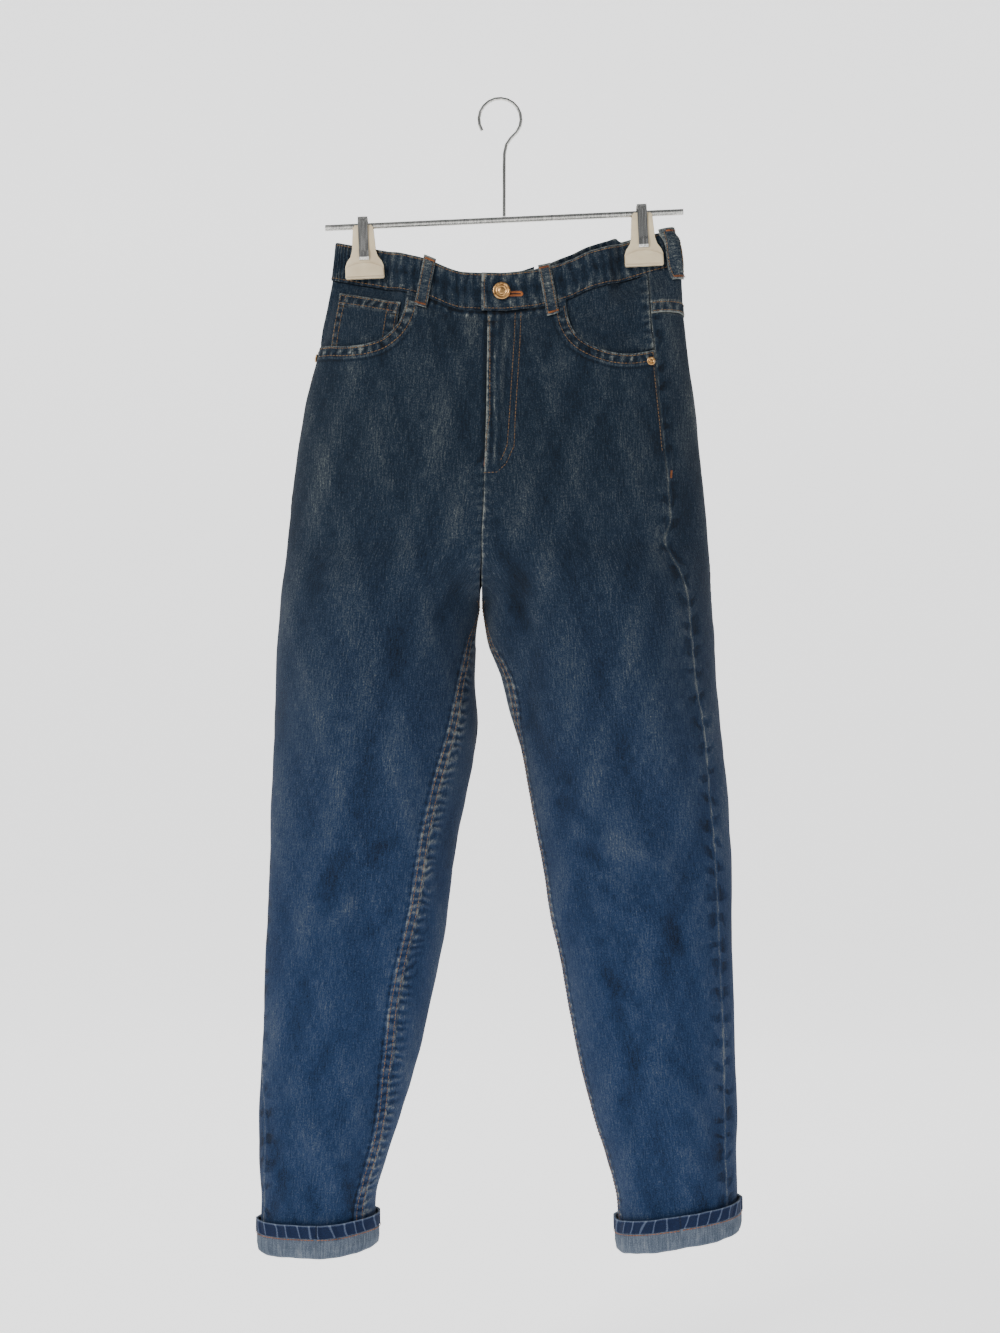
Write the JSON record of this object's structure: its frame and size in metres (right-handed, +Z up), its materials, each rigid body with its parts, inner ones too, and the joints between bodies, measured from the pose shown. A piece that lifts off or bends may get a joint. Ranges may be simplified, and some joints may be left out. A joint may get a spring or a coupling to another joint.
{
  "type": "mom jeans on a clip hanger",
  "caption": "High-waisted mom jeans with turned-up cuffs, hanging open-legged from a clip hanger by the pinched waistband.",
  "frame": {"origin": "inner top of the hanger's hook, where a rail carries it", "axes": "+Z up along the hanging jeans, -Y the way the front faces, +X to the wearer's left"},
  "size_m": [0.4608, 0.1472, 1.0954],
  "materials": {
    "denim": "mid blue washed twill with tan stitching",
    "denim_inside": "grey-blue wrong side of the twill",
    "brass": "antique",
    "steel": "plated wire and strip",
    "hanger_plastic": "beige satin"
  },
  "bodies": {
    "root": {"front_panel_right": "denim", "front_panel_left": "denim", "back_panel_right": "denim", "back_panel_left": "denim", "yoke_right": "denim", "yoke_left": "denim", "waistband": "denim", "belt_loop_front_right": "denim", "belt_loop_front_left": "denim", "belt_loop_side_left": "denim", "belt_loop_back_right": "denim", "belt_loop_back_middle": "denim", "pocket_facing_right": "denim", "pocket_facing_left": "denim", "coin_pocket": "denim", "back_pocket_right": "denim", "back_pocket_left": "denim", "cuff_right": "denim_inside", "cuff_left": "denim_inside", "button": "brass", "rivet_right": "brass", "rivet_left": "brass", "clip_front_jaw_right": "hanger_plastic", "clip_back_jaw_right": "hanger_plastic", "clip_front_jaw_left": "hanger_plastic", "clip_back_jaw_left": "hanger_plastic", "clip_spring_right": "steel", "clip_spring_left": "steel", "hanger_bar": "steel", "hanger_hook": "steel"}
  },
  "joints": []
}
